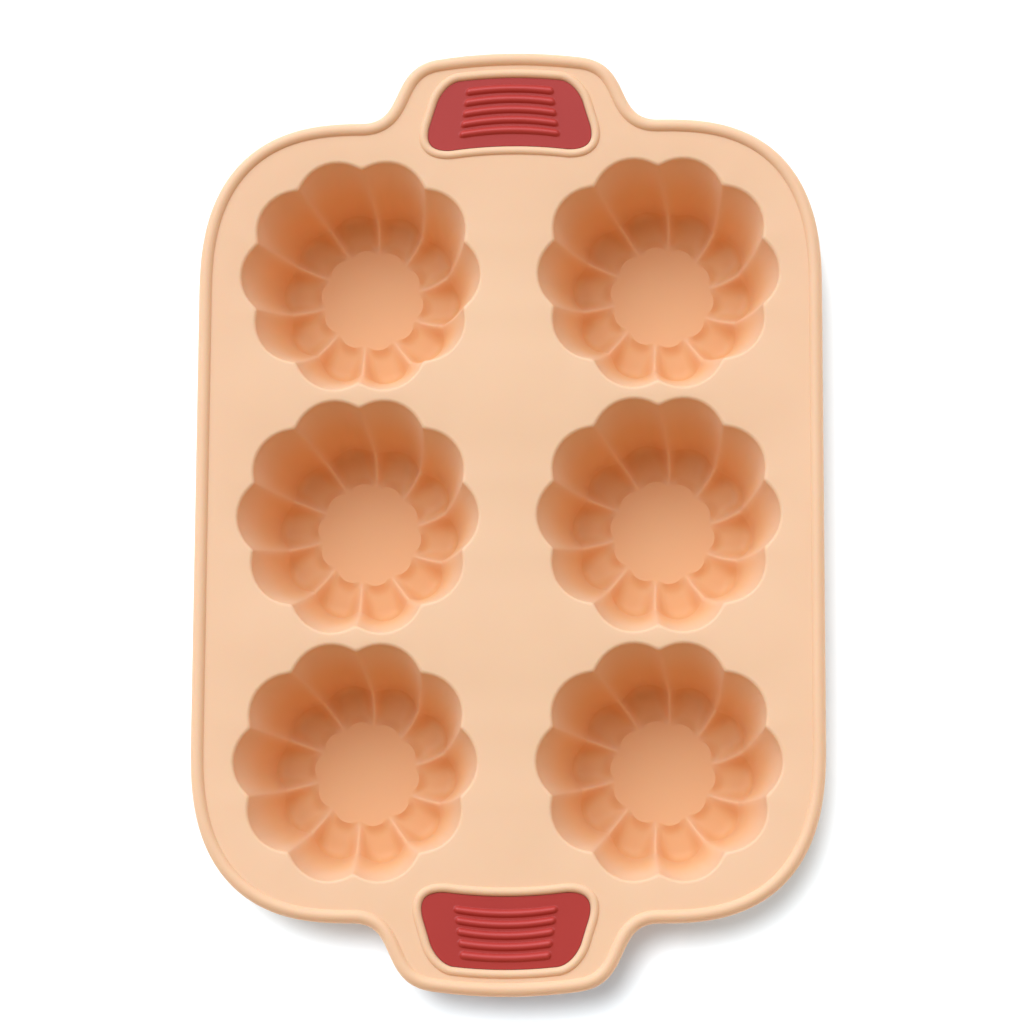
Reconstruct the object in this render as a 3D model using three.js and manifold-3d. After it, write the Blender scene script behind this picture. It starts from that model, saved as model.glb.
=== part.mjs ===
// Silicone muffin pan: six fluted cups under a flat deck, a wire ring in the rim bead and two ribbed grip pads.
// Millimetres, Z up, Y along the pan from handle to handle, origin on the ground under the pan's centre.
import * as THREE from 'three';
import { mergeVertices } from 'three/addons/utils/BufferGeometryUtils.js';
import Module from 'manifold-3d';

// Layout of the cups
const columnPitch = 100;
const rowPitch = 82;
const lobes = 10;

// Cup, measured on the inside; a tip is on a lobe's axis and a notch is between two lobes
const rimRadius = 40.0;
const rimFlute = 3.8;
const footRadius = 30.2;
const footFlute = 2.4;
const floorRadius = 17.6;
const floorFlute = 1.3;
const cupDepth = 39.8;
const wallDepth = 37.0;
const wallBow = 0.75;
const floorRise = 1.3;
const ridgeRise = 1.2;
const wallThickness = 1.6;
const baseThickness = 1.5;
const lipRadius = 1.2;

// Deck and rim bead
const panWidth = 209;
const bodyLength = 269.5;
const sideStraight = 150;
const endStraight = 100;
const cornerPower = 2.6;
const deckThickness = 2.0;
const beadDiameter = 4.6;

// Handles
const handleReach = 23.75;
const handleWidth = 76;
const handleTaper = 14;
const handleBow = 1.7;
const shoulderTop = 18;
const shoulderFoot = 15.3;

// Wire ring and the channel it lies in
const wireDiameter = 2.4;
const wireClearance = 0.3;
const pinHoleDiameter = 1.8;

// Grip pads and the raised frames around their windows
const gripOuterWidth = 44.6;
const gripInnerWidth = 60.8;
const gripLength = 23.7;
const gripSetback = 8.7;
const gripBow = 1.7;
const gripCorner = 7.5;
const gripClearance = 0.3;
const gripFlange = 2.0;
const flangeThickness = 1.0;
const frameWidth = 2.9;
const frameHeight = 0.9;
const ribCount = 5;
const ribPitch = 3.6;
const ribOffset = 0.9;
const ribWidth = 2.3;
const ribHeight = 1.1;
const ribOuterLength = 29.6;
const ribInnerLength = 33.7;

// Levels that follow from the sizes above
const deckTop = cupDepth + baseThickness;
const deckBottom = deckTop - deckThickness;
const beadLevel = deckTop - deckThickness / 2;
const handleEnd = bodyLength / 2 + handleReach;
const gripOuterEdge = handleEnd - gripSetback;
const gripInnerEdge = gripOuterEdge - gripLength;
const gripMiddle = (gripOuterEdge + gripInnerEdge) / 2;

const silicone = { color: 0xf3c4a1, roughness: 0.55, metalness: 0.0 };
const redSilicone = { color: 0xb2463f, roughness: 0.5, metalness: 0.0 };
const steel = { color: 0xb9bcc0, roughness: 0.35, metalness: 1.0 };

const wasm = await Module();
wasm.setup();

// A closed body from plain triangles, as a solid for cutting and joining
function toSolid(geometry) {
  geometry.deleteAttribute('normal');
  geometry.deleteAttribute('uv');
  const merged = mergeVertices(geometry, 1e-4);
  return new wasm.Manifold(new wasm.Mesh({
    numProp: 3,
    vertProperties: new Float32Array(merged.attributes.position.array),
    triVerts: new Uint32Array(merged.index.array),
  }));
}

function toGeometry(solid) {
  const mesh = solid.getMesh();
  const geometry = new THREE.BufferGeometry();
  const points = new Float32Array(mesh.numVert * 3);
  for (let i = 0; i < mesh.numVert; i += 1) {
    points[3 * i] = mesh.vertProperties[i * mesh.numProp];
    points[3 * i + 1] = mesh.vertProperties[i * mesh.numProp + 1];
    points[3 * i + 2] = mesh.vertProperties[i * mesh.numProp + 2];
  }
  geometry.setAttribute('position', new THREE.BufferAttribute(points, 3));
  geometry.setIndex(Array.from(mesh.triVerts));
  return geometry;
}

function named(geometry, name, look) {
  geometry.computeVertexNormals();
  const mesh = new THREE.Mesh(geometry, new THREE.MeshStandardMaterial(look));
  mesh.name = name;
  return mesh;
}

// A body from a stack of rings that all have the same number of points, capped at both ends
function stackRings(rings) {
  const count = rings[0].length;
  const points = rings.flat(2);
  const triangles = [];
  for (let level = 0; level + 1 < rings.length; level += 1) {
    for (let i = 0; i < count; i += 1) {
      const a = level * count + i;
      const b = level * count + ((i + 1) % count);
      triangles.push(a, b, b + count, a, b + count, a + count);
    }
  }
  const centre = (ring) => {
    const sum = ring.reduce((s, p) => [s[0] + p[0], s[1] + p[1], s[2] + p[2]], [0, 0, 0]);
    return sum.map((v) => v / ring.length);
  };
  const first = points.length / 3;
  points.push(...centre(rings[0]), ...centre(rings[rings.length - 1]));
  const lastRing = (rings.length - 1) * count;
  for (let i = 0; i < count; i += 1) {
    const next = (i + 1) % count;
    triangles.push(first, next, i);
    triangles.push(first + 1, lastRing + i, lastRing + next);
  }
  const geometry = new THREE.BufferGeometry();
  geometry.setAttribute('position', new THREE.BufferAttribute(new Float32Array(points), 3));
  geometry.setIndex(triangles);
  return geometry;
}

// A round bar along a closed flat path
function ringBar(path, diameter, level, sides) {
  const points = [];
  const triangles = [];
  const normals = pathNormals(path);
  for (let i = 0; i < path.length; i += 1) {
    for (let j = 0; j < sides; j += 1) {
      const turn = (2 * Math.PI * j) / sides;
      const out = (diameter / 2) * Math.cos(turn);
      points.push(path[i].x + out * normals[i].x);
      points.push(path[i].y + out * normals[i].y);
      points.push(level + (diameter / 2) * Math.sin(turn));
      const a = i * sides + j;
      const b = i * sides + ((j + 1) % sides);
      const shift = ((i + 1) % path.length) * sides - i * sides;
      triangles.push(a, a + shift, b + shift, a, b + shift, b);
    }
  }
  const geometry = new THREE.BufferGeometry();
  geometry.setAttribute('position', new THREE.BufferAttribute(new Float32Array(points), 3));
  geometry.setIndex(triangles);
  return geometry;
}

// Outward normals of a closed path that runs anticlockwise
function pathNormals(path) {
  return path.map((p, i) => {
    const before = path[(i + path.length - 1) % path.length];
    const after = path[(i + 1) % path.length];
    const a = new THREE.Vector2(p.x - before.x, p.y - before.y).normalize();
    const b = new THREE.Vector2(after.x - p.x, after.y - p.y).normalize();
    const along = a.clone().add(b).normalize();
    const stretch = 1 / Math.max(0.6, along.dot(a));
    return new THREE.Vector2(along.y, -along.x).multiplyScalar(stretch);
  });
}

function grown(path, distance) {
  const normals = pathNormals(path);
  return path.map((p, i) => p.clone().addScaledVector(normals[i], distance));
}

function slab(path, bottom, top) {
  const geometry = new THREE.ExtrudeGeometry(new THREE.Shape(path), {
    depth: top - bottom,
    bevelEnabled: false,
    steps: 1,
  });
  geometry.translate(0, 0, bottom);
  return geometry;
}

// One ring of a fluted cup: arcs of one radius around the axis that meet in notches
function flutedRing(centre, tip, notch, grow, tipLevel, notchLevel) {
  const half = Math.PI / lobes;
  const reach = (tip * tip - notch * notch) / (2 * (tip - notch * Math.cos(half)));
  const radius = tip - reach + grow;
  const perLobe = 4;
  const step = (2 * half) / perLobe;
  const ring = [];
  for (let i = 0; i < lobes * perLobe; i += 1) {
    const angle = i * step;
    const phi = Math.abs(((i + perLobe / 2) % perLobe) - perLobe / 2) * step;
    const offAxis = reach * Math.sin(phi);
    const r = reach * Math.cos(phi) + Math.sqrt(radius * radius - offAxis * offAxis);
    const level = tipLevel + (notchLevel - tipLevel) * (phi / half) ** 2;
    ring.push([centre.x + r * Math.cos(angle), centre.y + r * Math.sin(angle), level]);
  }
  return ring;
}

// Wall radii at a depth below the deck's top
function wallRadii(depth) {
  const u = depth / wallDepth;
  const taper = (1 - wallBow) * u + wallBow * u * u;
  const tip = rimRadius - (rimRadius - footRadius) * taper;
  const rimNotch = rimRadius - rimFlute;
  const footNotch = footRadius - footFlute;
  const notch = rimNotch - (rimNotch - footNotch) * taper;
  return { tip, notch };
}

function wallRing(centre, depth, grow) {
  const { tip, notch } = wallRadii(depth);
  return flutedRing(centre, tip, notch, grow, deckTop - depth, deckTop - depth);
}

// Rounded trough between the wall's foot and the raised floor; q runs from 0 at the wall to 1 at the floor's edge
function troughRing(centre, q) {
  const low = 0.6;
  const tip = footRadius - (footRadius - floorRadius) * q;
  const notch = footRadius - footFlute - (footRadius - footFlute - floorRadius + floorFlute) * q;
  const drop = q < low ? (cupDepth - wallDepth) * (1 - q / low) ** 2 : floorRise * ((q - low) / (1 - low)) ** 2;
  const ridge = ridgeRise * 4 * q * (1 - q);
  const level = deckTop - cupDepth + drop;
  return flutedRing(centre, tip, notch, 0, level, Math.min(level + ridge, deckTop - cupDepth + floorRise));
}

function cup(name, centre) {
  const wallStart = deckThickness;
  const wallSteps = [0, 0.3, 0.55, 0.8, 1];
  const wallDepths = wallSteps.map((s) => wallStart + (wallDepth - wallStart) * s);
  const inside = wallDepths.map((depth) => wallRing(centre, depth, 0));
  inside.push(...[0.25, 0.6, 0.85, 1].map((q) => troughRing(centre, q)));
  const outside = wallDepths.map((depth) => wallRing(centre, depth, wallThickness));
  const footTip = footRadius - (deckTop - wallDepth) / 2;
  outside.push(flutedRing(centre, footTip, footTip - footFlute, wallThickness, 0, 0));
  return named(stackRings([...outside.reverse(), ...inside]), name, silicone);
}

// Opening of one cup through the deck, with a soft lip at the top
function cupOpening(centre) {
  const ring = (level, depth, grow) => {
    const { tip, notch } = wallRadii(depth);
    return flutedRing(centre, tip, notch, grow, level, level);
  };
  const rings = [
    ring(deckBottom - 1, deckThickness, 0),
    ring(deckBottom, deckThickness, 0),
    ring(deckTop - lipRadius, lipRadius, 0),
    ring(deckTop - 0.3 * lipRadius, lipRadius, 0.3 * lipRadius),
    ring(deckTop, lipRadius, lipRadius),
    ring(deckTop + 1, lipRadius, lipRadius),
  ];
  return toSolid(stackRings(rings));
}

// A quarter of the pan's edge, mirrored to all four; anticlockwise from the middle of the right side
function panEdge() {
  const halfWidth = panWidth / 2;
  const halfBody = bodyLength / 2;
  const cornerX = endStraight / 2;
  const cornerY = sideStraight / 2;
  const quarter = [];
  const cornerSteps = 14;
  for (let i = 0; i < cornerSteps; i += 1) {
    const turn = (Math.PI / 2) * (i / cornerSteps);
    const x = cornerX + (halfWidth - cornerX) * Math.cos(turn) ** (2 / cornerPower);
    const y = cornerY + (halfBody - cornerY) * Math.sin(turn) ** (2 / cornerPower);
    quarter.push(new THREE.Vector2(x, y));
  }
  const flat = handleWidth / 2 - handleTaper;
  const slope = (2 * handleBow) / flat;
  const bend = new THREE.Vector2(flat, handleEnd - handleBow);
  const shoulder = new THREE.CubicBezierCurve(
    new THREE.Vector2(cornerX, halfBody),
    new THREE.Vector2(cornerX - shoulderFoot, halfBody),
    new THREE.Vector2(bend.x + shoulderTop, bend.y - shoulderTop * slope),
    bend,
  );
  const end = new THREE.CubicBezierCurve(
    bend,
    new THREE.Vector2(bend.x - flat / 3, bend.y + (flat / 3) * slope),
    new THREE.Vector2(flat / 3, handleEnd),
    new THREE.Vector2(0, handleEnd),
  );
  quarter.push(...shoulder.getSpacedPoints(12).slice(0, -1), ...end.getSpacedPoints(4).slice(0, -1));
  const right = [...quarter, new THREE.Vector2(0, handleEnd)];
  const left = quarter.slice().reverse().map((p) => new THREE.Vector2(-p.x, p.y));
  const top = [...right, ...left];
  const bottom = top.map((p) => new THREE.Vector2(-p.x, -p.y));
  return [...top, ...bottom];
}

// Edge of a grip window on the rear handle, anticlockwise
function gripEdge() {
  const outer = gripOuterWidth / 2;
  const inner = gripInnerWidth / 2;
  const corners = [
    new THREE.Vector2(inner, gripInnerEdge - gripBow),
    new THREE.Vector2(outer, gripOuterEdge - gripBow * 0.6),
    new THREE.Vector2(-outer, gripOuterEdge - gripBow * 0.6),
    new THREE.Vector2(-inner, gripInnerEdge - gripBow),
  ];
  const sides = [
    new THREE.Vector2((inner + outer) / 2, gripMiddle),
    new THREE.Vector2(0, gripOuterEdge + gripBow * 0.6),
    new THREE.Vector2(-(inner + outer) / 2, gripMiddle),
    new THREE.Vector2(0, gripInnerEdge + gripBow),
  ];
  const edge = [];
  for (let i = 0; i < 4; i += 1) {
    const before = sides[(i + 3) % 4];
    const after = sides[i];
    const corner = corners[i];
    const start = corner.clone().addScaledVector(before.clone().sub(corner).normalize(), gripCorner);
    const finish = corner.clone().addScaledVector(after.clone().sub(corner).normalize(), gripCorner);
    edge.push(...new THREE.QuadraticBezierCurve(start, corner, finish).getPoints(5));
    const nextCorner = corners[(i + 1) % 4];
    const nextStart = nextCorner.clone().addScaledVector(after.clone().sub(nextCorner).normalize(), gripCorner);
    edge.push(...new THREE.QuadraticBezierCurve(finish, after, nextStart).getPoints(i % 2 ? 6 : 2).slice(1, -1));
  }
  return edge;
}

function turned(path) {
  return path.map((p) => new THREE.Vector2(-p.x, -p.y));
}

const edge = panEdge();
const wirePath = grown(edge, -beadDiameter / 2);
const rearGrip = gripEdge();
const frontGrip = turned(rearGrip);

const centres = {
  cup_front_left: new THREE.Vector2(-columnPitch / 2, -rowPitch),
  cup_front_right: new THREE.Vector2(columnPitch / 2, -rowPitch),
  cup_middle_left: new THREE.Vector2(-columnPitch / 2, 0),
  cup_middle_right: new THREE.Vector2(columnPitch / 2, 0),
  cup_rear_left: new THREE.Vector2(-columnPitch / 2, rowPitch),
  cup_rear_right: new THREE.Vector2(columnPitch / 2, rowPitch),
};

// Deck with its bead, openings, windows, frames, wire channel and the pin holes that held the wire in the mould
function deck() {
  let solid = toSolid(slab(wirePath, deckBottom, deckTop));
  solid = solid.add(toSolid(ringBar(wirePath, beadDiameter, beadLevel, 8)));
  for (const centre of Object.values(centres)) {
    solid = solid.subtract(cupOpening(centre));
  }
  for (const grip of [rearGrip, frontGrip]) {
    const frame = ringBar(grown(grip, frameWidth / 2), frameWidth, deckTop + frameHeight - frameWidth / 2, 8);
    solid = solid.add(toSolid(frame));
    solid = solid.subtract(toSolid(slab(grip, deckBottom - 1, deckTop + frameHeight + 1)));
  }
  const channel = wireDiameter + 2 * wireClearance;
  solid = solid.subtract(toSolid(ringBar(wirePath, channel, beadLevel, 6)));
  for (const index of [0, 13, 40, 53, 60, 73, 100, 113]) {
    const spot = wirePath[Math.round((index / 120) * wirePath.length) % wirePath.length];
    const hole = new THREE.CylinderGeometry(pinHoleDiameter / 2, pinHoleDiameter / 2, beadDiameter, 8);
    hole.rotateX(Math.PI / 2);
    hole.translate(spot.x, spot.y, beadLevel - beadDiameter / 2);
    solid = solid.subtract(toSolid(hole));
  }
  return named(toGeometry(solid), 'deck', silicone);
}

// One bowed rib on a grip pad, as a flat strip with square ends
function rib(index) {
  const share = index / (ribCount - 1);
  const length = ribInnerLength + (ribOuterLength - ribInnerLength) * share;
  const middle = gripMiddle + ribOffset + (index - (ribCount - 1) / 2) * ribPitch;
  const steps = 6;
  const outer = [];
  const inner = [];
  for (let i = 0; i <= steps; i += 1) {
    const u = (2 * i) / steps - 1;
    const y = middle + gripBow * (0.5 - u * u);
    outer.push(new THREE.Vector2((-u * length) / 2, y + ribWidth / 2));
    inner.push(new THREE.Vector2((u * length) / 2, y - ribWidth / 2));
  }
  return slab([...inner, ...outer], deckTop - 0.4, deckTop + ribHeight);
}

// Grip pad: neck in the window, flange under the deck, ribs on top
function gripPad(name, facesFront) {
  const neck = slab(grown(rearGrip, -gripClearance), deckBottom - flangeThickness, deckTop);
  const flange = slab(grown(rearGrip, gripFlange), deckBottom - flangeThickness, deckBottom);
  let solid = toSolid(neck).add(toSolid(flange));
  for (let i = 0; i < ribCount; i += 1) {
    solid = solid.add(toSolid(rib(i)));
  }
  const geometry = toGeometry(solid);
  if (facesFront) {
    geometry.rotateZ(Math.PI);
  }
  return named(geometry, name, redSilicone);
}

const pan = new THREE.Group();
pan.name = 'muffin_pan';
pan.add(deck());
for (const [name, centre] of Object.entries(centres)) {
  pan.add(cup(name, centre));
}
pan.add(named(ringBar(wirePath, wireDiameter, beadLevel, 6), 'rim_wire', steel));
pan.add(gripPad('grip_rear', false));
pan.add(gripPad('grip_front', true));

export default pan;
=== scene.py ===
# %% [markdown]
# # A silicone muffin pan
# The real pan is one soft moulding: a flat deck with six fluted cups, a round bead around the edge and two
# handles, each with a red ribbed grip pad. A steel wire inside the bead keeps the edge straight.
#
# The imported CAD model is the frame: it says where everything is and how big it is. This script adds the
# looks: one seamless skin in place of the deck and cups, finer grip pads, their finishes, a white floor and
# soft light. Sizes are in millimetres until a mesh is made, because that is how a pan is measured.

# %% Load the frame
import bpy
import bmesh
import numpy as np
from mathutils import Matrix, Vector
from mathutils.geometry import delaunay_2d_cdt


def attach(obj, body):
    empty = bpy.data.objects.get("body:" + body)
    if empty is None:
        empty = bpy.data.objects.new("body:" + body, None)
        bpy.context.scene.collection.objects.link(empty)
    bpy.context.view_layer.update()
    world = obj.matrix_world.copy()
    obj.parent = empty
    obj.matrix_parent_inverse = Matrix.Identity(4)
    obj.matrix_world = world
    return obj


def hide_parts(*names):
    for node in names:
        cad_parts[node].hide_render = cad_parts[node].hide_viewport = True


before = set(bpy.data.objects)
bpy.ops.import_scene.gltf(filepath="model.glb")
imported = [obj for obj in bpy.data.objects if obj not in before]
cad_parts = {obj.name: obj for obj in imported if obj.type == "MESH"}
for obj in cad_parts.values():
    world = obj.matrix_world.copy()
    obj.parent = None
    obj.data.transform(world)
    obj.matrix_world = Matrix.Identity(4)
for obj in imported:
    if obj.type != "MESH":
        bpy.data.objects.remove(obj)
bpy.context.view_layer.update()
MM = 0.001

# %% [markdown]
# ## Camera
# A long lens, more than a metre above the deck and leaning a little from the front right, sees the pan
# almost straight down. It could be turned by hand until the view looks right. But the six cups are the same
# and lie on a regular grid, so their places in the picture give the camera's place and axes. Those go
# straight into its matrix, which is more exact.

# %% Camera
DECK_TOP = 41.3
CAMERA_PLACE = (91.94, -216.71, DECK_TOP + 1263.36)
LOOKING, UPWARDS = (-0.0704, 0.1694, -0.9830), (0.0073, 0.9855, 0.1693)
SENSOR_WIDTH, LENS = 36.0, 136.43

looking = Vector(LOOKING).normalized()
image_right = looking.cross(Vector(UPWARDS)).normalized()
image_up = image_right.cross(looking)
camera_axes = Matrix((image_right, image_up, -looking)).transposed()

camera_data = bpy.data.cameras.new("camera")
camera_data.sensor_width = SENSOR_WIDTH
camera_data.lens = LENS
camera = bpy.data.objects.new("camera", camera_data)
camera.matrix_world = Matrix.Translation(Vector(CAMERA_PLACE) * MM) @ camera_axes.to_4x4()
bpy.context.collection.objects.link(camera)
bpy.context.scene.camera = camera
bpy.context.scene.view_settings.view_transform = "Standard"
print("camera", [round(v, 3) for v in camera.location], "lens", camera_data.lens)

# %% [markdown]
# ## Edge of the pan
# Seen from above, the edge has straight sides, full corners and a handle at each end. It could be traced
# point by point, but a few curves with named sizes are easier to change. A superellipse makes the corner,
# because it starts to turn earlier than a circle would. Cubic curves make the S of the handle's shoulder
# and its bowed end. One quarter is drawn and mirrored, and the closed loop is then spaced evenly along its
# length.

# %% Corner of the edge
PAN_WIDTH, BODY_LENGTH = 209.0, 269.5
SIDE_STRAIGHT, END_STRAIGHT = 150.0, 100.0
CORNER_POWER, CORNER_POINTS = 2.6, 600

half_width, half_body = PAN_WIDTH / 2, BODY_LENGTH / 2
corner_x, corner_y = END_STRAIGHT / 2, SIDE_STRAIGHT / 2
# Superellipse: the size times the cosine and the sine of the turn, each to the power of 2 over n.
corner_turn = np.linspace(0, np.pi / 2, CORNER_POINTS)[:-1]
corner_across = np.cos(corner_turn) ** (2 / CORNER_POWER)
corner_along = np.sin(corner_turn) ** (2 / CORNER_POWER)
corner = np.column_stack([corner_x + (half_width - corner_x) * corner_across,
                          corner_y + (half_body - corner_y) * corner_along])
print("corner from", corner[0].round(1), "to", corner[-1].round(1))

# %% Shoulder and end of a handle
HANDLE_REACH, HANDLE_WIDTH, HANDLE_TAPER, HANDLE_BOW = 23.75, 76.0, 14.0, 1.7
SHOULDER_TOP, SHOULDER_FOOT = 18.0, 15.3
SHOULDER_POINTS, END_POINTS = 300, 200


def cubic(a, b, c, d, count):
    """Points of a cubic curve: the weights of its four points are the terms of (1 - t + t) cubed."""
    t = np.linspace(0, 1, count)[:, None]
    return (1 - t) ** 3 * a + 3 * (1 - t) ** 2 * t * b + 3 * (1 - t) * t ** 2 * c + t ** 3 * d


handle_end = half_body + HANDLE_REACH
half_flat = HANDLE_WIDTH / 2 - HANDLE_TAPER
foot = np.array([corner_x, half_body])
top = np.array([half_flat, handle_end - HANDLE_BOW])
middle = np.array([0, handle_end])
# The slope of the bowed end where the shoulder meets it, so that the two curves run on without a kink.
lean = np.array([1.0, -2 * HANDLE_BOW / half_flat])
shoulder = cubic(foot, foot - (SHOULDER_FOOT, 0), top + SHOULDER_TOP * lean, top, SHOULDER_POINTS)[:-1]
end = cubic(top, top - half_flat / 3 * lean, middle + (half_flat / 3, 0), middle, END_POINTS)
print("shoulder from", foot, "to", top.round(1), "and end at", middle.round(1))

# %% Even loop around the edge
EDGE_POINTS = 720


def even_loop(loop, count):
    """A closed loop spaced evenly: positions read off at equal steps of the length along it."""
    closed = np.vstack([loop, loop[:1]])
    along = np.concatenate([[0], np.cumsum(np.linalg.norm(np.diff(closed, axis=0), axis=1))])
    steps = np.linspace(0, along[-1], count, endpoint=False)
    return np.column_stack([np.interp(steps, along, closed[:, 0]), np.interp(steps, along, closed[:, 1])])


def loop_normals(loop):
    """Outward normals of an anticlockwise loop: the chord between a point's neighbours, turned right."""
    chord = np.roll(loop, -1, axis=0) - np.roll(loop, 1, axis=0)
    chord /= np.linalg.norm(chord, axis=1, keepdims=True)
    return np.column_stack([chord[:, 1], -chord[:, 0]])


quarter = np.vstack([corner, shoulder, end])
half = np.vstack([quarter, quarter[-2::-1] * (-1, 1)])
edge = even_loop(np.vstack([half, -half]), EDGE_POINTS)
edge_out = loop_normals(edge)
print("edge", len(edge), "points, width and length", np.ptp(edge, axis=0).round(1))

# %% [markdown]
# ## Rim bead
# The bead is a round bar along the edge, and the deck runs into its middle. A bevelled curve could make it,
# but it has to share its points with the deck. So a circle is carried along the edge instead: from the
# crease on top of the deck, over the outside, to the crease under the deck.

# %% Rim bead
DECK_THICKNESS, BEAD_DIAMETER, BEAD_ROWS = 2.0, 4.6, 25
DECK_BOTTOM = DECK_TOP - DECK_THICKNESS


def carried(path, outward, offsets, heights):
    """A profile carried along a closed path: each point moves out along the path's normal to its height."""
    flat = path[None] + offsets[:, None, None] * outward[None]
    tall = np.broadcast_to(heights[:, None, None], flat.shape[:2] + (1,))
    return np.concatenate([flat, tall], axis=2)


bead_radius = BEAD_DIAMETER / 2
crease = np.pi - np.arcsin(DECK_THICKNESS / 2 / bead_radius)
bead_turn = np.linspace(crease, -crease, BEAD_ROWS)
bead_offsets = bead_radius * np.cos(bead_turn) - bead_radius
bead_heights = DECK_TOP - DECK_THICKNESS / 2 + bead_radius * np.sin(bead_turn)
bead = carried(edge, edge_out, bead_offsets, bead_heights)
bead[0, :, 2], bead[-1, :, 2] = DECK_TOP, DECK_BOTTOM
print("bead", bead.shape, "from", bead_heights.min().round(2), "to", bead_heights.max().round(2))

# %% [markdown]
# ## Rings of a cup
# A cup is fluted like a flower: ten equal lobes meet in ridges, at every level from the rim to the floor.
# The lobes could be cut by booleans, which leaves ragged edges. Here one formula gives a ring of ten arcs
# from the radius at a lobe's tip and the radius at a ridge, and the cup is a stack of such rings. The
# points crowd towards the ridges, where the surface turns fastest, and the lobes turn a few degrees on the
# way down.

# %% Points around a ring
LOBES, LOBE_POINTS = 10, 16
half_lobe = np.pi / LOBES
swing = np.sin(np.linspace(-1, 1, LOBE_POINTS + 1)[:-1] * np.pi / 2)
around = (np.arange(LOBES)[:, None] * 2 * half_lobe + swing * half_lobe).ravel()
from_ridge = half_lobe - np.abs(np.tile(swing, LOBES)) * half_lobe
print("ring", len(around), "points, half a lobe is", np.degrees(half_lobe).round(1), "degrees")

# %% Fluted rings
TWIST, RIDGE_POWER = np.radians(8), 4


def fluted(tip, notch, grow, soft, tip_height, notch_height, twist):
    """Rings of ten arcs, one for each value of tip and notch, the radii at a lobe's tip and at a ridge.

    An arc's centre lies on the lobe's axis, at a reach of (tip squared - notch squared) over twice
    (tip - notch cos of half a lobe). At angle a from the axis, the ring's radius is reach cos a plus the
    root of (arc radius squared - (reach sin a) squared). A hyperbola near the ridge rounds its angle off by
    soft, grow moves the ring out, and the height runs from the tip's to the ridge's with a power of the
    angle.
    """
    tip, notch, grow = tip[:, None], notch[:, None], grow[:, None]
    round_off = np.broadcast_to(soft, tip.shape[0])[:, None] / notch
    off_axis = half_lobe - np.hypot(from_ridge, round_off) + np.hypot(half_lobe, round_off) - half_lobe
    reach = (tip ** 2 - notch ** 2) / (2 * (tip - notch * np.cos(half_lobe)))
    arc = tip - reach + grow
    radius = reach * np.cos(off_axis) + np.sqrt(arc ** 2 - (reach * np.sin(off_axis)) ** 2)
    share = (off_axis / off_axis.max(axis=1, keepdims=True)) ** RIDGE_POWER
    height = tip_height[:, None] + (notch_height - tip_height)[:, None] * share
    angle = around - TWIST * np.broadcast_to(twist, tip.shape[0])[:, None]
    return np.stack([radius * np.cos(angle), radius * np.sin(angle), height], axis=-1)


print("lobes turn", np.degrees(TWIST).round(1), "degrees from the rim to the floor")

# %% [markdown]
# ## Inside of a cup
# From the deck down, the inside has a soft lip, a leaning wall, a rounded trough with a scooped pocket in
# each lobe, and a raised flat floor. The ridges between the lobes rise above the trough and sink into the
# floor. Sculpting could give such a form, but with no sizes to name. Here each stretch is a few rows of
# rings, with radii and heights that follow simple curves, and each starts where the last one ends.

# %% Wall of a cup
RIM_RADIUS, RIM_FLUTE, FOOT_RADIUS, FOOT_FLUTE = 40.5, 4.3, 30.6, 5.2
WALL_DEPTH, WALL_BOW, RIDGE_BOW, WALL_TWIST = 37.0, -0.25, 0.2, 0.6
rim_notch, foot_notch = RIM_RADIUS - RIM_FLUTE, FOOT_RADIUS - FOOT_FLUTE


def wall_radii(depth):
    """Tip radius, ridge radius and share of the twist at a depth.

    With u the depth as a share of the wall's, a radius goes (1 - bow) u + bow u cubed of the way from rim
    to foot: the tips lean in faster near the rim, and the ridges a little faster near the foot.
    """
    u = depth / WALL_DEPTH
    tip = RIM_RADIUS - (RIM_RADIUS - FOOT_RADIUS) * ((1 - WALL_BOW) * u + WALL_BOW * u ** 3)
    notch = rim_notch - (rim_notch - foot_notch) * ((1 - RIDGE_BOW) * u + RIDGE_BOW * u ** 3)
    return tip, notch, WALL_TWIST * u


print("tips from", RIM_RADIUS, "to", FOOT_RADIUS, "and ridges from", rim_notch, "to", round(foot_notch, 1))

# %% Lip and wall inside
LIP, LIP_ROWS, WALL_ROWS = 1.3, 7, 20
SOFT_AT_RIM, SOFT_AT_FOOT, RIDGE_LIFT = 0.8, 1.5, 4.6

# The lip is a quarter round: its rows lie out by 1 minus the sine and down by 1 minus the cosine.
lip_turn = np.linspace(0, np.pi / 2, LIP_ROWS)
lip_height = DECK_TOP - LIP * (1 - np.cos(lip_turn))
tip, notch, twist = wall_radii(np.full(LIP_ROWS, LIP))
lip = fluted(tip, notch, LIP * (1 - np.sin(lip_turn)), SOFT_AT_RIM, lip_height, lip_height, twist)

# The ridges lift off the lobes' level with the cube of the depth.
depth = np.linspace(LIP, WALL_DEPTH, WALL_ROWS)[1:]
lift = RIDGE_LIFT * (depth / WALL_DEPTH) ** 3
soft = SOFT_AT_RIM + (SOFT_AT_FOOT - SOFT_AT_RIM) * (depth - LIP) / (WALL_DEPTH - LIP)
tip, notch, twist = wall_radii(depth)
wall = fluted(tip, notch, depth * 0, soft, DECK_TOP - depth, DECK_TOP - depth + lift, twist)
print("lip", len(lip), "rows, wall", len(wall), "rows")

# %% Trough inside
CUP_DEPTH, FLOOR_RADIUS, FLOOR_FLUTE, FLOOR_RISE = 39.8, 17.8, 2.1, 1.6
TROUGH_ROWS, TROUGH_LOW, TROUGH_SHORE, TROUGH_POWER = 23, 0.6, 0.72, 6

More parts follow.
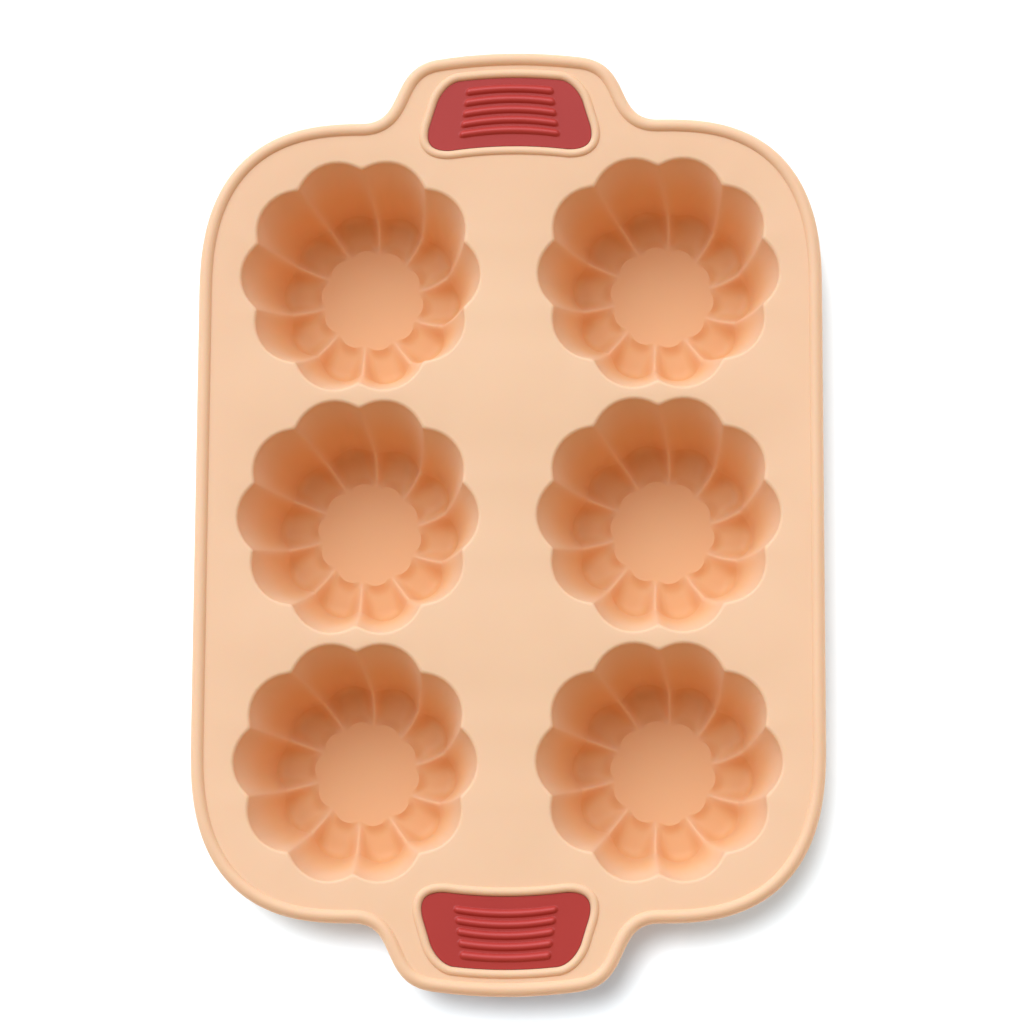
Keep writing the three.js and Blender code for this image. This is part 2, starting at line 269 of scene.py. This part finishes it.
# With q from 0 at the wall to 1 at the floor, the lobes fall steeply with a power of what is left before the
# low stretch, and rise to the floor with the square of what lies past the shore.
q = np.linspace(0, 1, TROUGH_ROWS)[1:] ** 2
floor_notch = FLOOR_RADIUS - FLOOR_FLUTE
fall = (CUP_DEPTH - WALL_DEPTH) * np.clip(1 - q / TROUGH_LOW, 0, 1) ** TROUGH_POWER
rise = FLOOR_RISE * np.clip((q - TROUGH_SHORE) / (1 - TROUGH_SHORE), 0, 1) ** 2
trough_height = DECK_TOP - CUP_DEPTH + fall + rise
# The ridges sink to the floor along a parabola.
floor_level = DECK_TOP - CUP_DEPTH + FLOOR_RISE
ridge_top = DECK_TOP - WALL_DEPTH + RIDGE_LIFT
ridge_height = ridge_top + (floor_level - ridge_top) * (2 * q - q ** 2)
tip, notch = FOOT_RADIUS - (FOOT_RADIUS - FLOOR_RADIUS) * q, foot_notch - (foot_notch - floor_notch) * q
soft, twist = SOFT_AT_FOOT + (SOFT_AT_RIM - SOFT_AT_FOOT) * q, WALL_TWIST + (1 - WALL_TWIST) * q
trough = fluted(tip, notch, q * 0, soft, trough_height, ridge_height, twist)
print("trough", len(trough), "rows, ridges from", round(ridge_top, 1), "down to", round(floor_level, 1))

# %% Floor inside
FLOOR_RINGS, POCKET_SHADE_START = np.array([0.97, 0.85, 0.55, 0.25]), 0.02

ring_level = np.full(len(FLOOR_RINGS), floor_level)
cup_floor = fluted(FLOOR_RADIUS * FLOOR_RINGS, floor_notch * FLOOR_RINGS, FLOOR_RINGS * 0,
                   SOFT_AT_RIM * FLOOR_RINGS, ring_level, ring_level, 1.0)
inside = np.concatenate([lip, wall, trough, cup_floor])
# How far each row gets the painted pocket shade: full at the foot of the wall, fading to nothing at the
# floor.
pocket_shade_share = np.zeros(len(inside))
pocket_shade_share[len(lip) + len(wall):-len(cup_floor)] = (1 - q) * np.clip(q / POCKET_SHADE_START, 0, 1)
print("cup inside", len(inside), "rows, floor at", round(floor_level, 1))

# %% [markdown]
# ## Outside of a cup
# The outside hangs under the deck: the same lobes one wall's thickness further out, a round foot and a flat
# base. Thickening the inside with a modifier would copy its ridges and pockets, which the real outside
# doesn't need to have, so the outside gets its own rows.

# %% Outside of a cup
WALL, FILLET, FOOT_PULL = 1.6, 0.3, 3.4
FILLET_ROWS, OUTER_ROWS, FOOT_ROWS = 5, 9, 8
BASE_RINGS = np.array([0.9, 0.5])

# A hollow quarter round joins the deck's underside to the wall.
fillet_turn = np.linspace(0, np.pi / 2, FILLET_ROWS)
fillet_height = DECK_BOTTOM - FILLET * np.sin(fillet_turn)
fillet_grow = WALL + FILLET * (1 - np.cos(fillet_turn[::-1]))
tip, notch, twist = wall_radii(np.full(FILLET_ROWS, DECK_THICKNESS + FILLET))
under = fluted(tip, notch, fillet_grow, SOFT_AT_RIM, fillet_height, fillet_height, twist)

depth = np.linspace(DECK_THICKNESS + FILLET, WALL_DEPTH, OUTER_ROWS)[1:]
tip, notch, twist = wall_radii(depth)
outer_wall = fluted(tip, notch, depth * 0 + WALL, SOFT_AT_RIM, DECK_TOP - depth, DECK_TOP - depth, twist)

# The foot is a quarter ellipse: in by 1 minus the cosine, down by the sine.
foot_turn = np.linspace(0, np.pi / 2, FOOT_ROWS)[1:]
pull = FOOT_PULL * (1 - np.cos(foot_turn))
foot_height = (DECK_TOP - WALL_DEPTH) * (1 - np.sin(foot_turn))
outer_foot = fluted(FOOT_RADIUS - pull, foot_notch - pull, pull * 0 + WALL, SOFT_AT_RIM,
                    foot_height, foot_height, WALL_TWIST)
base = outer_foot[-1:] * np.stack([BASE_RINGS, BASE_RINGS, BASE_RINGS * 0], axis=-1)[:, None, :]
outside = np.concatenate([under, outer_wall, outer_foot, base])
print("cup outside", len(outside), "rows, down to", outside[..., 2].min().round(2))

# %% [markdown]
# ## Grip windows and frames
# Each handle has a window for its grip pad, with slanted sides, round corners and long edges that bow
# towards the handle's end. A drawn outline would do for the window alone. But the pad's ribs bow in the
# same way, so one mapping from a square gives both: the window's edge here, and the pad's top further on. A
# half round frame is carried around the window, and its inner side runs down through the deck.

# %% Mapping from a square to a grip
GRIP_INNER_EDGE, GRIP_LENGTH, GRIP_HALF_BASE, GRIP_SLANT = 126.05, 23.7, 31.3, 8.6
CORNER_INNER, CORNER_OUTER = 12.5, 5.8
BOW_AT_EDGES, BOW_BETWEEN = 0.0034, 0.0026


def corner_inset(radius, from_edge):
    """How far a round corner pulls a side in: radius - root of (radius squared - the rest of it squared)."""
    rest = np.clip(radius - from_edge, 0, None)
    return radius - np.sqrt(radius ** 2 - rest ** 2)


def grip_point(u, t):
    """Across u from -1 to 1, along t from inner edge 0 to outer edge 1: rows bow by a share of x squared."""
    inset = corner_inset(CORNER_INNER, t * GRIP_LENGTH) + corner_inset(CORNER_OUTER, (1 - t) * GRIP_LENGTH)
    x = u * (GRIP_HALF_BASE - GRIP_SLANT * t - inset)
    bow = BOW_AT_EDGES + BOW_BETWEEN * 4 * t * (1 - t)
    return x, GRIP_INNER_EDGE + GRIP_LENGTH * t - bow * x ** 2


print("middle of a grip", np.round(grip_point(0.0, 0.5), 2))

# %% Window of a grip
SIDE_POINTS, WINDOW_POINTS = 300, 240


def window_side(u, t):
    """One side of the mapped square as points."""
    return np.column_stack(grip_point(*np.broadcast_arrays(u, t)))


side_t = 0.5 - 0.5 * np.cos(np.linspace(0, np.pi, SIDE_POINTS))
side_u = np.linspace(-1, 1, SIDE_POINTS)
right_side, left_side = window_side(1.0, side_t), window_side(-1.0, side_t)
outer_side, inner_side = window_side(side_u, 1.0), window_side(side_u, 0.0)
sides = [right_side, outer_side[-2:0:-1], left_side[::-1], inner_side[1:-1]]
window = even_loop(np.vstack(sides), WINDOW_POINTS)
window_out = loop_normals(window)
print("window", np.round(np.ptp(window, axis=0), 1))

# %% Frame of a grip
FRAME_WIDTH, FRAME_HEIGHT, FRAME_ROWS, FRAME_STEP = 3.1, 0.9, 15, 1.2

frame_radius = FRAME_WIDTH / 2
frame_middle = DECK_TOP + FRAME_HEIGHT - frame_radius
frame_turn = np.linspace(np.arcsin((DECK_TOP - frame_middle) / frame_radius), np.pi, FRAME_ROWS)
frame_offsets = np.append(frame_radius + frame_radius * np.cos(frame_turn), [0.0, 0.0])
frame_heights = np.append(frame_middle + frame_radius * np.sin(frame_turn),
                          [DECK_TOP - FRAME_STEP, DECK_BOTTOM])
frame_heights[0] = DECK_TOP
rear_frame = carried(window, window_out, frame_offsets, frame_heights)
front_frame = rear_frame * (-1, -1, 1)
print("frame", len(rear_frame), "rows, up to", frame_heights.max().round(2))

# %% [markdown]
# ## From rows to one skin
# Rows of points become a skin by quads between them, a fan closes the middle of a floor or base, and the
# deck is the flat area between the loops of the bead, the cups and the frames. Booleans could cut the cups
# into a plate, but they leave slivers. Here neighbouring surfaces use the very same points along their
# borders, so merging doubles at the end welds everything into one closed skin.

# %% Quads and fans
def grid_faces(rows, columns):
    """Quads of a grid that closes around: point (row, column) joins the next row and the next column."""
    row = np.arange(rows - 1)[:, None] * columns
    column = np.arange(columns)[None, :]
    beside = (column + 1) % columns
    quads = [row + column, row + beside, row + columns + beside, row + columns + column]
    return np.stack(quads, axis=-1).reshape(-1, 4)


def fan_faces(rows, columns):
    """Triangles from the last ring of a closed grid to one middle point, numbered after the grid's points."""
    ring = (rows - 1) * columns + np.arange(columns)
    beside = (rows - 1) * columns + (np.arange(columns) + 1) % columns
    return np.stack([ring, beside, np.full(columns, rows * columns)], axis=-1)


print("a cup's inside has", len(grid_faces(*inside.shape[:2])), "quads and", len(around), "triangles")

# %% Flat areas
TRIANGLES_INSIDE, TOUCHING = 1, 1e-6


def inside_loop(points, loop):
    """Even-odd rule: a point is inside when a ray to its right crosses the loop an odd number of times."""
    x, y = points[:, 0:1], points[:, 1:2]
    a, b = loop, np.roll(loop, -1, axis=0)
    spans = (a[:, 1] > y) != (b[:, 1] > y)
    rise = np.where(a[:, 1] == b[:, 1], 1.0, b[:, 1] - a[:, 1])
    crossing = a[:, 0] + (y - a[:, 1]) / rise * (b[:, 0] - a[:, 0])
    return (spans & (x < crossing)).sum(axis=1) % 2 == 1


def flat_area(outer, holes, height):
    """Flat triangles between a loop and its holes: all loops triangulated, triangles in holes dropped."""
    loops = [outer] + holes
    starts = np.cumsum([0] + [len(loop) for loop in loops])
    numbers = [start + np.arange(len(loop)) for start, loop in zip(starts, loops)]
    edges = np.vstack([np.column_stack([number, np.roll(number, -1)]) for number in numbers])
    result = delaunay_2d_cdt(np.vstack(loops).tolist(), edges.tolist(), [], TRIANGLES_INSIDE, TOUCHING)
    points, triangles = np.array(result[0]), np.array(result[2])
    middles = points[triangles].mean(axis=1)
    keep = inside_loop(middles, outer)
    for hole in holes:
        keep &= ~inside_loop(middles, hole)
    return np.column_stack([points, np.full(len(points), height)]), triangles[keep]


floor_loop = cup_floor[0, :, :2]
print("a cup's floor as a flat area has", len(flat_area(floor_loop, [], floor_level)[1]), "triangles")

# %% Welding
TONES = ("tint_and_shade", "painted_highlight", "pocket_shade")
MERGE_DISTANCE = 2e-6


def weld(name, patches, material, crease_degrees):
    """One closed object from patches of points, faces and tones: doubles merged, faces turned outwards."""
    starts = np.cumsum([0] + [len(points) for points, _, _ in patches])
    points = np.vstack([points for points, _, _ in patches]) * MM
    tones = np.vstack([np.broadcast_to(tones, points.shape) for points, _, tones in patches])
    faces = []
    for start, (_, groups, _) in zip(starts, patches):
        for group in groups:
            faces += (group + start).tolist()
    mesh = bpy.data.meshes.new(name)
    mesh.from_pydata(points.tolist(), [], faces)
    for tone, values in zip(TONES, np.ascontiguousarray(tones.T, dtype=float)):
        mesh.attributes.new(tone, "FLOAT", "POINT").data.foreach_set("value", values)
    skin = bmesh.new()
    skin.from_mesh(mesh)
    bmesh.ops.remove_doubles(skin, verts=skin.verts, dist=MERGE_DISTANCE)
    bmesh.ops.recalc_face_normals(skin, faces=skin.faces)
    open_edges = sum(1 for edge in skin.edges if len(edge.link_faces) != 2)
    skin.to_mesh(mesh)
    skin.free()
    mesh.shade_smooth()
    mesh.set_sharp_from_angle(angle=np.radians(crease_degrees))
    mesh.materials.append(material)
    piece = bpy.data.objects.new(name, mesh)
    bpy.context.collection.objects.link(piece)
    print(name, len(mesh.vertices), "points", len(mesh.polygons), "faces", open_edges, "open edges")
    return piece


print("each point carries the tones", ", ".join(TONES))

# %% [markdown]
# ## Silicone finish
# Moulded silicone is satin: it scatters light a little way under its skin and has a soft, wide highlight. A
# Principled shader with some subsurface scattering gives that. A slow noise varies the colour by a hair,
# and a fine noise bumps the skin as the blasted steel of the mould does.
#
# Deep in a cup, light bounces from wall to wall and comes out warmer. A depth tone paints that warmer, darker
# shade into the colour of the cups; on the grip pads the same tone only gives the pads their own deeper red.
# A pocket tone paints shade into the scoops at the foot of the lobes, and a ridge tone takes both away along
# the ridges and on the tops of the ribs, which paints a highlight there. Image textures could hold such
# tones, but attributes on the points need no unwrapping and follow the shape when it changes.

# %% Nodes for noise and colour
def object_noise(tree, scale, detail):
    """Noise on Object coordinates, so that it stays with the piece: scale is its cells in a metre."""
    place = tree.nodes.new("ShaderNodeTexCoord")
    noise = tree.nodes.new("ShaderNodeTexNoise")
    noise.inputs["Scale"].default_value = scale
    noise.inputs["Detail"].default_value = detail
    tree.links.new(place.outputs["Object"], noise.inputs["Vector"])
    return noise.outputs["Fac"]


def colour_ramp(tree, factor, low, high, low_at, high_at):
    """A colour that runs evenly from low to high while the factor runs between two positions."""
    ramp = tree.nodes.new("ShaderNodeValToRGB")
    for stop, colour, position in zip(ramp.color_ramp.elements, (low, high), (low_at, high_at)):
        stop.position = position
        stop.color = (*colour, 1.0)
    tree.links.new(factor, ramp.inputs["Fac"])
    return ramp.outputs["Color"]


print("helpers for noise and colour ramps")

# %% Nodes for tones
def mix_by_tone(tree, tone, colour, blend):
    """A mix that changes a colour as far as a tone of the piece says: not at all at 0, fully at 1."""
    amount = tree.nodes.new("ShaderNodeAttribute")
    amount.attribute_name = tone
    mix = tree.nodes.new("ShaderNodeMix")
    mix.data_type = "RGBA"
    mix.blend_type = blend
    tree.links.new(amount.outputs["Fac"], mix.inputs["Factor"])
    tree.links.new(colour, mix.inputs["A"])
    return mix


def new_finish(name):
    """A new material with its node tree and its Principled shader."""
    material = bpy.data.materials.new(name)
    material.use_nodes = True
    return material, material.node_tree, material.node_tree.nodes["Principled BSDF"]


print("helpers for tones and new finishes")

# %% Satin silicone
PATCH_DETAIL, PATCH_LOW, PATCH_HIGH = 3.0, 0.3, 0.7
GRAIN_SCALE, GRAIN_DETAIL, GRAIN_STRENGTH, GRAIN_HEIGHT = 1400.0, 2.0, 0.05, 0.0003
SILICONE_IOR, SCATTER_RADIUS, SCATTER_SCALE = 1.41, (1.0, 0.4, 0.15), 0.002


def satin_silicone(name, pale, deep, tint_and_shade_colour, pocket_shade_tint, roughness, scatter, patch_scale):
    """Silicone whose colour wanders between pale and deep, times a depth tint and a pocket tint, taken off by
    a painted highlight.
    """
    material, tree, shader = new_finish(name)
    patches = object_noise(tree, patch_scale, PATCH_DETAIL)
    skin = colour_ramp(tree, patches, deep, pale, PATCH_LOW, PATCH_HIGH)
    # Painted shade: the depth and pocket tints darken and warm the colour, and the painted highlight mixes
    # the plain colour back on ridges and rib tops.
    tint_and_shade = mix_by_tone(tree, "tint_and_shade", skin, "MULTIPLY")
    tint_and_shade.inputs["B"].default_value = (*tint_and_shade_colour, 1.0)
    pocket_shade = mix_by_tone(tree, "pocket_shade", tint_and_shade.outputs["Result"], "MULTIPLY")
    pocket_shade.inputs["B"].default_value = (*pocket_shade_tint, 1.0)
    painted_highlight = mix_by_tone(tree, "painted_highlight", pocket_shade.outputs["Result"], "MIX")
    tree.links.new(skin, painted_highlight.inputs["B"])
    tree.links.new(painted_highlight.outputs["Result"], shader.inputs["Base Color"])
    bump = tree.nodes.new("ShaderNodeBump")
    bump.inputs["Strength"].default_value = GRAIN_STRENGTH
    bump.inputs["Distance"].default_value = GRAIN_HEIGHT
    tree.links.new(object_noise(tree, GRAIN_SCALE, GRAIN_DETAIL), bump.inputs["Height"])
    tree.links.new(bump.outputs["Normal"], shader.inputs["Normal"])
    shader.inputs["Roughness"].default_value = roughness
    shader.inputs["IOR"].default_value = SILICONE_IOR
    shader.inputs["Subsurface Weight"].default_value = scatter
    shader.inputs["Subsurface Radius"].default_value = SCATTER_RADIUS
    shader.inputs["Subsurface Scale"].default_value = SCATTER_SCALE
    return material


print("silicone grain", GRAIN_SCALE, "cells in a metre")

# %% Peach and red silicone
# The peach tints are painted shade: warmer and darker deeper in the cups, darker in the pockets. The red's
# depth tint is the pads' own deeper red.
peach = satin_silicone("peach_silicone", pale=(0.88, 0.523, 0.314), deep=(0.86, 0.503, 0.30),
                       tint_and_shade_colour=(0.98, 0.87, 0.68), pocket_shade_tint=(0.965, 0.91, 0.84),
                       roughness=0.55, scatter=0.2, patch_scale=18.0)
red = satin_silicone("red_silicone", pale=(0.56, 0.050, 0.040), deep=(0.53, 0.045, 0.036),
                     tint_and_shade_colour=(0.79, 0.54, 0.44), pocket_shade_tint=(1, 1, 1),
                     roughness=0.45, scatter=0.05, patch_scale=40.0)
print("finishes", peach.name, "and", red.name)

# %% [markdown]
# ## One seamless moulding
# The deck, cups, bead and frames of the real pan are cast in one shot, so they are one piece here as well,
# with no seam between deck and cup. The rows made above become patches with their tones, the deck's top and
# underside are flat areas between the loops, and all of it is welded. The moulding stands in for the CAD
# deck and cups.

# %% Tones of a cup: painted shade and painted highlight
PAINTED_SHADE_START, PAINTED_SHADE_DEPTH, FLOOR_PAINTED_SHADE, FLOOR_FADE = 2.0, 22.0, 0.8, 8.0
RIDGE_HIGHLIGHT, RIDGE_HIGHLIGHT_WIDTH, RIDGE_HIGHLIGHT_FADE, RIDGE_HIGHLIGHT_END = 0.65, 1.5, 3.0, 16.0
POCKET_SHADE_EDGE = 2.5


def cup_tones(rows):
    """Tones at each point of a cup's inside, and at its middle.

    The painted shade grows with depth along 3 s squared - 2 s cubed and is a little weaker on the floor. The
    painted highlight is a bell curve across each ridge that fades at rim and floor. The painted pocket shade
    follows the rows, times 1 - a bell curve at the ridges.
    """
    depth = DECK_TOP - rows[..., 2]
    radius = np.hypot(rows[..., 0], rows[..., 1])
    off_ridge = from_ridge * radius
    sunk = np.clip((depth - PAINTED_SHADE_START) / PAINTED_SHADE_DEPTH, 0, 1)
    on_wall = np.clip(FLOOR_PAINTED_SHADE + (radius - FLOOR_RADIUS) / FLOOR_FADE, FLOOR_PAINTED_SHADE, 1)
    tint_and_shade = sunk ** 2 * (3 - 2 * sunk) * on_wall
    # A painted highlight along each ridge.
    fade = np.clip(depth / RIDGE_HIGHLIGHT_FADE, 0, 1) * np.clip((radius - RIDGE_HIGHLIGHT_END) / RIDGE_HIGHLIGHT_FADE, 0, 1)
    painted_highlight = RIDGE_HIGHLIGHT * np.exp(-(off_ridge / RIDGE_HIGHLIGHT_WIDTH) ** 2) * fade
    # Painted shade in the pockets, less towards the ridges.
    pocket_shade = pocket_shade_share[:, None] * (1 - np.exp(-(off_ridge / POCKET_SHADE_EDGE) ** 2))
    return np.vstack([np.stack([tint_and_shade, painted_highlight, pocket_shade], axis=-1).reshape(-1, 3), [(FLOOR_PAINTED_SHADE, 0, 0)]])


inside_tones = cup_tones(inside)
print("strongest tones", dict(zip(TONES, inside_tones.max(axis=0).round(2))))

# %% Patches of the moulding
COLUMN_PITCH, ROW_PITCH = 100.0, 82.0
PLAIN = (0, 0, 0)
centres = np.array([(x * COLUMN_PITCH / 2, y * ROW_PITCH) for x in (-1, 1) for y in (-1, 0, 1)])


def strip(rows, tones):
    """A closed grid of rows as points, quads and tones."""
    return rows.reshape(-1, 3), [grid_faces(*rows.shape[:2])], tones


def bowl(rows, centre, tones):
    """A closed grid of rows moved to a centre, with a fan to its middle point at the end."""
    moved = rows + (*centre, 0)
    middle = (*centre, rows[-1, 0, 2])
    points = np.vstack([moved.reshape(-1, 3), [middle]])
    return points, [grid_faces(*rows.shape[:2]), fan_faces(*rows.shape[:2])], tones


frames = [rear_frame, front_frame]
patches = [strip(rows, PLAIN) for rows in [bead] + frames]
patches += [bowl(inside, centre, inside_tones) for centre in centres]
patches += [bowl(outside, centre, PLAIN) for centre in centres]
for height, end_row, cup in ((DECK_TOP, 0, inside), (DECK_BOTTOM, -1, outside)):
    holes = [cup[0, :, :2] + centre for centre in centres] + [rows[end_row, :, :2] for rows in frames]
    points, triangles = flat_area(bead[end_row, :, :2], holes, height)
    patches.append((points, [triangles], PLAIN))
print(len(patches), "patches, the last two are the deck's top and underside")

# %% Moulding
MOULDING_CREASE = 35

moulding = weld("pan_moulding", patches, peach, MOULDING_CREASE)
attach(moulding, "root")
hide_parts("deck", "cup_front_left", "cup_front_right", "cup_middle_left", "cup_middle_right",
            "cup_rear_left", "cup_rear_right")

# %% [markdown]
# ## Grip pads
# A pad is a red silicone insert: flat, with five round ribs that bow like its edges and get a painted
# highlight on top.
# The ribs could be separate bars laid on a plate, but the real pad is one moulding. So its top is the
# mapped square with a height at each point. Below it a neck fills the window, and a flange holds the pad
# under the deck.

# %% Ribs of a pad
RIBS, RIB_PITCH, RIB_WIDTH, RIB_HEIGHT = 5, 3.6, 2.7, 0.95
RIB_OFFSET, RIB_INNER, RIB_OUTER = 0.9, 33.9, 29.8


def rib_height(x, t):
    """Height of round-ended ribs: a parabola over the distance to each rib's middle line."""
    rib = np.arange(RIBS)[:, None, None]
    middle = GRIP_LENGTH / 2 + RIB_OFFSET + (rib - (RIBS - 1) / 2) * RIB_PITCH
    half = (RIB_INNER + (RIB_OUTER - RIB_INNER) * rib / (RIBS - 1)) / 2 - RIB_WIDTH / 2
    away = np.hypot(t * GRIP_LENGTH - middle, np.clip(np.abs(x) - half, 0, None)) / (RIB_WIDTH / 2)
    return RIB_HEIGHT * np.clip(1 - away ** 2, 0, None).max(axis=0)


print(RIBS, "ribs, from", RIB_INNER, "to", RIB_OUTER, "long")

# %% Top of a pad
PAD_ROWS, PAD_COLUMNS, EVEN_SHARE, CROWDED_SHARE = 190, 150, 0.8, 0.2

# Rows are spaced mostly evenly, and partly by a cosine that crowds them towards the round corners.
spread = np.linspace(0, 1, PAD_ROWS)
pad_t = (EVEN_SHARE * spread + CROWDED_SHARE * (0.5 - 0.5 * np.cos(np.pi * spread)))[:, None]
pad_u, pad_t = np.broadcast_arrays(np.linspace(-1, 1, PAD_COLUMNS)[None, :], pad_t)
pad_x, pad_y = grip_point(pad_u, pad_t)
pad_rise = rib_height(pad_x, pad_t)
pad_top = np.stack([pad_x, pad_y, DECK_TOP + pad_rise], axis=-1).reshape(-1, 3)
# The rib tops get a painted highlight: the higher the rib, the more of the paler red.
rib_share = (pad_rise / RIB_HEIGHT).ravel()
top_tones = np.stack([np.ones_like(rib_share), rib_share, np.zeros_like(rib_share)], axis=-1)
print("pad top", len(pad_top), "points, up to", pad_top[:, 2].max().round(2))

# %% Neck, flange and underside of a pad
NECK_GAP, FLANGE, FLANGE_THICKNESS, FLANGE_GAP = 0.06, 2.0, 1.0, 0.02
PAD_TONE = (1, 0, 0)

number = np.arange(PAD_ROWS * PAD_COLUMNS).reshape(PAD_ROWS, PAD_COLUMNS)
# Quads of a grid that does not close around, and its border's points in order.
sheet = np.stack([number[:-1, :-1], number[:-1, 1:], number[1:, 1:], number[1:, :-1]], axis=-1).reshape(-1, 4)
border = np.concatenate([number[0], number[1:, -1], number[-1, -2::-1], number[-2:0:-1, 0]])

rim = pad_top[border, :2]
rim_out = loop_normals(rim)
pad_top[border, :2] -= NECK_GAP * rim_out
flange_top, flange_bottom = DECK_BOTTOM - FLANGE_GAP, DECK_BOTTOM - FLANGE_THICKNESS
skirt = carried(rim, rim_out, np.array([-NECK_GAP, -NECK_GAP, FLANGE, FLANGE]),
                np.array([DECK_TOP, flange_top, flange_top, flange_bottom]))
pad_under = pad_top.copy()
pad_under[:, 2] = flange_bottom
pad_under[border, :2] = skirt[-1, :, :2]
pad_patches = [(pad_top, [sheet], top_tones), strip(skirt, PAD_TONE), (pad_under, [sheet], PAD_TONE)]
print("pad border", len(border), "points, underside at", round(flange_bottom, 2))

# %% Grip pads
PAD_CREASE = 50


def grip_pad(name, sign):
    """A welded pad: the patches as they are at the rear handle, or turned half around for the front one."""
    turned = [(points * (sign, sign, 1), faces, tones) for points, faces, tones in pad_patches]
    pad = weld(name, turned, red, PAD_CREASE)
    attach(pad, "root")
    return pad


rear_pad = grip_pad("rear_grip_pad", 1)
front_pad = grip_pad("front_grip_pad", -1)
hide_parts("grip_rear")
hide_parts("grip_front")

# %% [markdown]
# ## Rim wire
# The wire is hidden in the bead. It stays as the CAD made it, because a plain round wire is all it is. It
# gets a drawn steel finish: grey metal whose roughness wanders with a fine noise.

# %% Rim wire
STEEL_GREY = (0.50, 0.51, 0.53, 1.0)
STREAK_SCALE, STREAK_DETAIL, STEEL_SMOOTH, STEEL_ROUGH = 900.0, 2.0, 0.25, 0.45

steel, steel_tree, steel_shader = new_finish("drawn_steel")
steel_span = steel_tree.nodes.new("ShaderNodeMapRange")
steel_span.inputs["To Min"].default_value = STEEL_SMOOTH
steel_span.inputs["To Max"].default_value = STEEL_ROUGH
steel_tree.links.new(object_noise(steel_tree, STREAK_SCALE, STREAK_DETAIL), steel_span.inputs["Value"])
steel_tree.links.new(steel_span.outputs["Result"], steel_shader.inputs["Roughness"])
steel_shader.inputs["Base Color"].default_value = STEEL_GREY
steel_shader.inputs["Metallic"].default_value = 1.0

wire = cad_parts["rim_wire"]
wire.data.materials.clear()
wire.data.materials.append(steel)
print("wire finish on", wire.name)

# %% [markdown]
# ## Floor
# The pan stands on a sheet of matt white paper. One large square is enough, because the light keeps it
# white to the picture's edges. A faint mottle keeps it from being one flat colour.

# %% Floor
FLOOR_HALF = 3.0
PAPER_LOW, PAPER_HIGH, PAPER_ROUGHNESS = (0.87, 0.91, 0.94), (0.89, 0.93, 0.96), 0.9
MOTTLE_SCALE, MOTTLE_DETAIL = 60.0, 2.0

paper, paper_tree, paper_shader = new_finish("white_paper")
mottle = object_noise(paper_tree, MOTTLE_SCALE, MOTTLE_DETAIL)
paper_colour = colour_ramp(paper_tree, mottle, PAPER_LOW, PAPER_HIGH, low_at=0.0, high_at=1.0)
paper_tree.links.new(paper_colour, paper_shader.inputs["Base Color"])
paper_shader.inputs["Roughness"].default_value = PAPER_ROUGHNESS

floor_points = np.array([(-1, -1, 0), (1, -1, 0), (1, 1, 0), (-1, 1, 0)]) * FLOOR_HALF
floor_mesh = bpy.data.meshes.new("floor")
floor_mesh.from_pydata(floor_points.tolist(), [], [(0, 1, 2, 3)])
floor_mesh.materials.append(paper)
floor = bpy.data.objects.new("floor", floor_mesh)
bpy.context.collection.objects.link(floor)
print("floor", 2 * FLOOR_HALF, "metres square")

# %% [markdown]
# ## Light
# The light is soft and comes from the rear. Two cool softboxes, at the left and the right, show the form of
# the cups, and a dim warm dome over the pan stands for what a room sends back. The floor has a softbox and
# a dome of its own, through light linking, so that it stays white and its shadow stays short and neutral.
# Area lamps or an environment picture could light the pan too. Far lights are used because each is only a
# direction, a width, a colour and a strength.

# %% Light
COOL, WARM = (0.62, 0.82, 1.0), (1.0, 0.76, 0.47)
PALE_BLUE, WHITE = (0.82, 0.96, 1.0), (1.0, 1.0, 1.0)
SKY_STRENGTH = 0.06


def far_softbox(name, azimuth, elevation, spread, colour, strength, lit):
    """A far soft light on the things in lit, in the direction (cos up cos turn, cos up sin turn, sin up)."""
    turn, up = np.radians(azimuth), np.radians(elevation)
    place = Vector((np.cos(up) * np.cos(turn), np.cos(up) * np.sin(turn), np.sin(up)))
    data = bpy.data.lights.new(name, "SUN")
    data.angle = np.radians(spread)
    data.energy = strength
    data.color = colour
    light = bpy.data.objects.new(name, data)
    light.location = place
    light.rotation_euler = (-place).to_track_quat("-Z", "Y").to_euler()
    bpy.context.collection.objects.link(light)
    group = bpy.data.collections.new(name + "_lights")
    for thing in lit:
        group.objects.link(thing)
    light.light_linking.receiver_collection = group
    print(name, "from", azimuth, "degrees,", elevation, "degrees up")


pan = [moulding, rear_pad, front_pad]
far_softbox("key_softbox", azimuth=132, elevation=42, spread=58, colour=COOL, strength=3.15, lit=pan)
far_softbox("side_softbox", azimuth=60, elevation=45, spread=50, colour=COOL, strength=1.42, lit=pan)
far_softbox("warm_dome", azimuth=0, elevation=89.5, spread=176, colour=WARM, strength=1.14, lit=pan)
far_softbox("floor_softbox", azimuth=124, elevation=82, spread=18, colour=WHITE, strength=3.0, lit=[floor])
far_softbox("floor_dome", azimuth=105, elevation=80, spread=150, colour=PALE_BLUE, strength=2.0, lit=[floor])

world = bpy.data.worlds.new("studio")
bpy.context.scene.world = world
world.use_nodes = True
sky = world.node_tree.nodes["Background"]
sky.inputs["Color"].default_value = (*WHITE, 1.0)
sky.inputs["Strength"].default_value = SKY_STRENGTH
